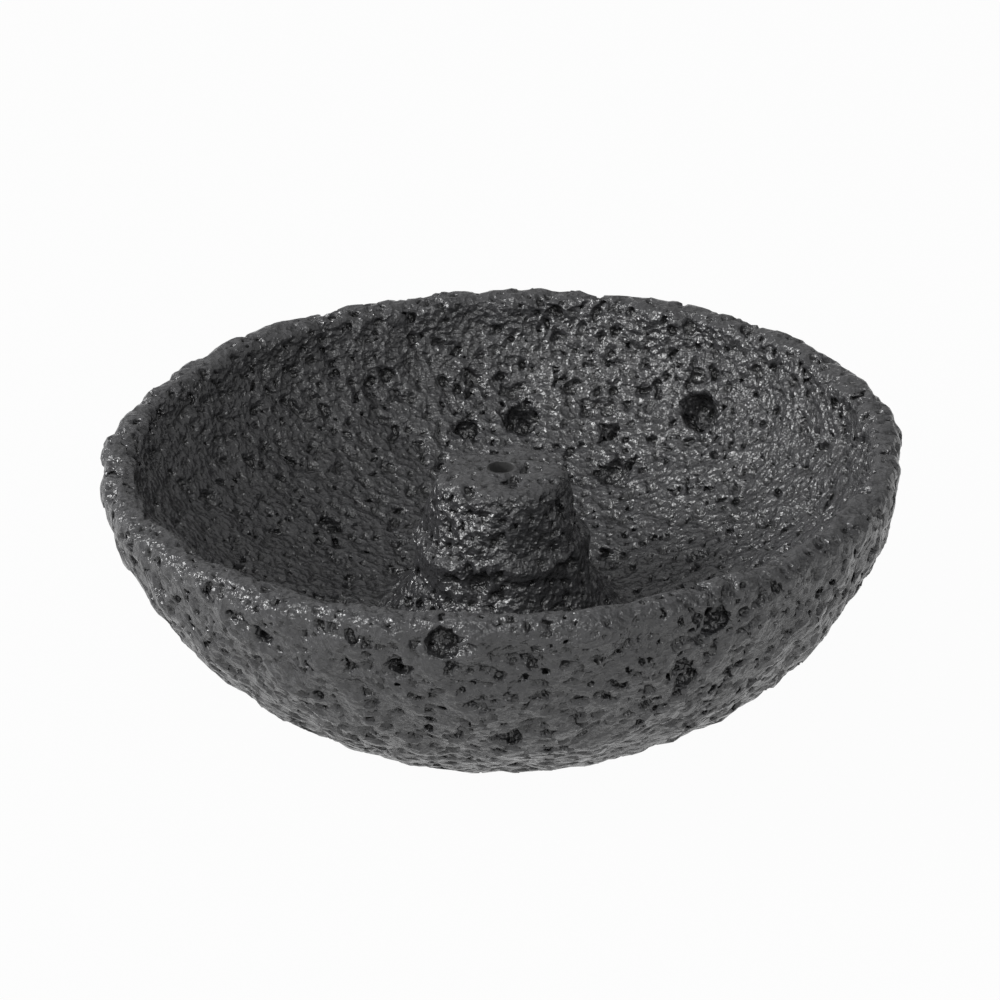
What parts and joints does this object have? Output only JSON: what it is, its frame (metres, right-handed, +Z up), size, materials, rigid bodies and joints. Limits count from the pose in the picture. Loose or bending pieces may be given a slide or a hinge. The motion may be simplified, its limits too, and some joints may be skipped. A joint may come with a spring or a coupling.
{
  "type": "incense stick holder",
  "caption": "Round carved lava-stone bowl whose drilled middle boss holds an incense stick upright while the trough round it catches the ash.",
  "frame": {"origin": "on the table, under the middle of the bowl", "axes": "+Z up along the stick hole; +X towards the higher side of the rim; -Y is the front in the picture"},
  "size_m": [0.1002, 0.1, 0.0353],
  "materials": {
    "lava_stone": "rough carved vesicular basalt, matt with small glints",
    "black_rubber": "matt black rubber"
  },
  "bodies": {
    "root": {"stone_bowl": "lava_stone", "foot_pad_1": "black_rubber", "foot_pad_2": "black_rubber", "foot_pad_3": "black_rubber"}
  },
  "joints": []
}
